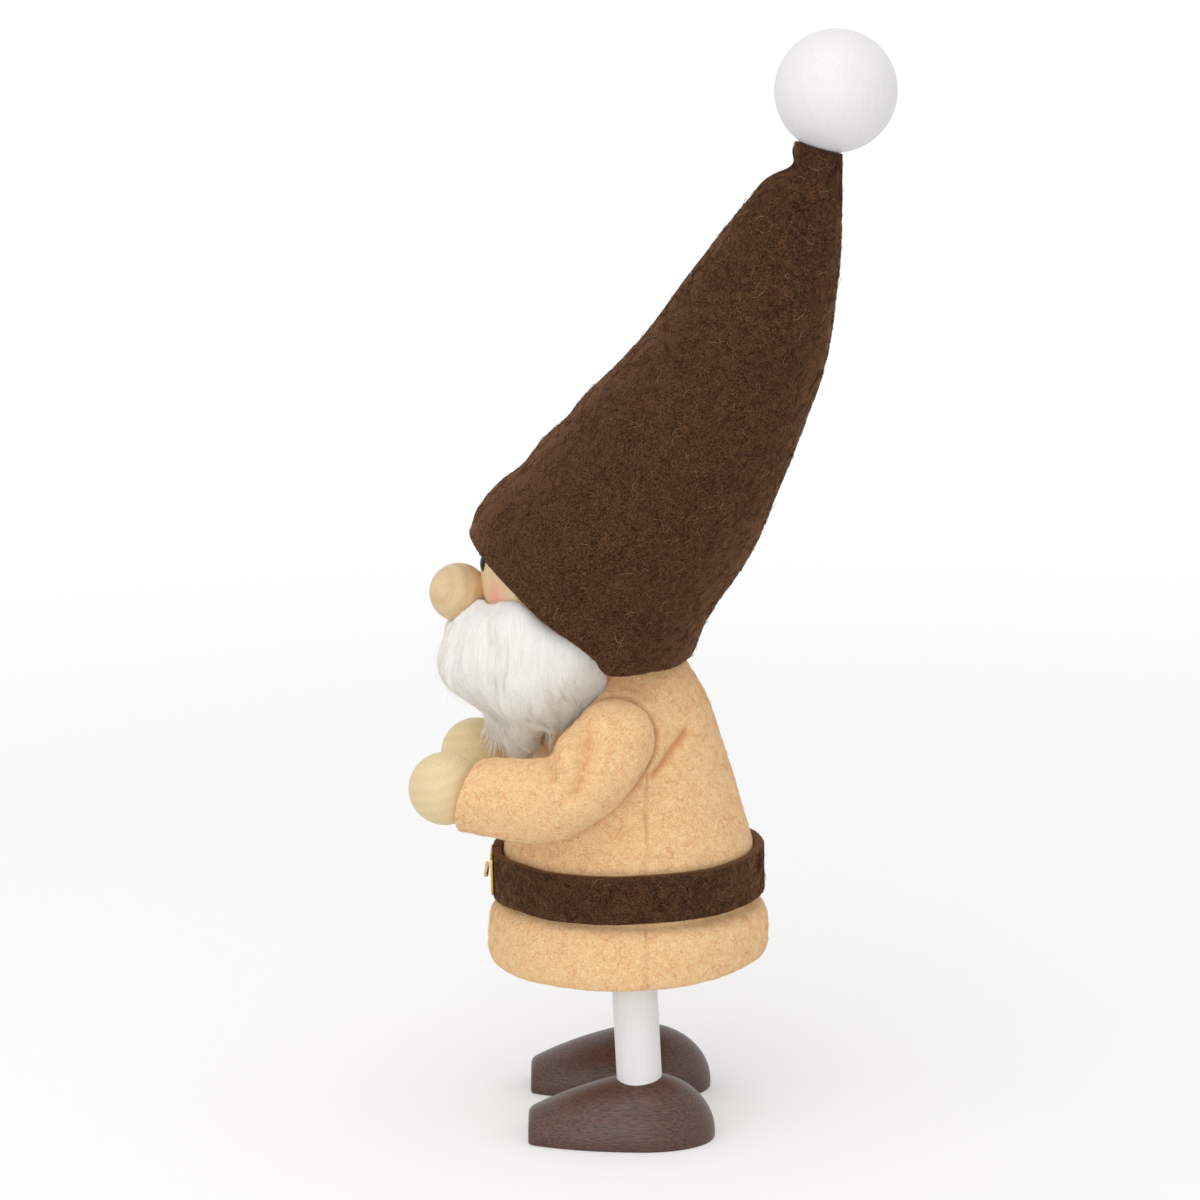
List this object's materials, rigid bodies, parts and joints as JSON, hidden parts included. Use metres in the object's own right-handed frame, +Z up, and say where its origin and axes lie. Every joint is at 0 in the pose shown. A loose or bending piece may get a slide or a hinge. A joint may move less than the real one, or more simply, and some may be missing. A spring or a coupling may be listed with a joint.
{
  "type": "wooden doll",
  "caption": "Standing wooden gnome doll in a belted felt coat and a tall leaning felt hat, with a wool beard and wire-cored arms that swing at the shoulder.",
  "frame": {"origin": "on the ground under the middle of the doll's box, midway between the front of the left hand and the back of the ball on the hat", "axes": "+Z up, the doll faces -Y, and its left side is at +X"},
  "size_m": [0.0438, 0.0635, 0.1456],
  "materials": {
    "beech": "sanded, unvarnished",
    "white_wood": "white satin paint",
    "stained_wood": "dark brown stain, satin",
    "coat_felt": "apricot wool felt",
    "hat_felt": "dark brown wool felt",
    "wool": "loose white wool",
    "brass": "polished",
    "steel_wire": "drawn wire",
    "black_gloss": "gloss"
  },
  "bodies": {
    "doll": {"body_core": "beech", "neck_peg": "beech", "head": "beech", "nose": "beech", "eye_left": "black_gloss", "eye_right": "black_gloss", "beard": "wool", "hat": "hat_felt", "hat_wire": "steel_wire", "hat_wadding": "wool", "hat_ball": "white_wood", "coat_front": "coat_felt", "coat_back": "coat_felt", "shoulder_wire": "steel_wire", "belt": "hat_felt", "buckle_frame": "brass", "buckle_prong": "brass", "leg_left": "white_wood", "leg_right": "white_wood", "shoe_left": "stained_wood", "shoe_right": "stained_wood"},
    "arm_left": {"sleeve_left": "coat_felt", "arm_wire_left": "steel_wire", "hand_left": "beech"},
    "arm_right": {"sleeve_right": "coat_felt", "arm_wire_right": "steel_wire", "hand_right": "beech"}
  },
  "joints": [
    {"name": "arm_left_swing", "type": "hinge", "parent": "doll", "child": "arm_left", "pos_m": [0.01328, -0.00463, 0.0546], "axis": [0, 0, 1], "range_deg": [0, 50]},
    {"name": "arm_right_swing", "type": "hinge", "parent": "doll", "child": "arm_right", "pos_m": [-0.01328, -0.00463, 0.0546], "axis": [0, 0, -1], "range_deg": [0, 50]}
  ]
}
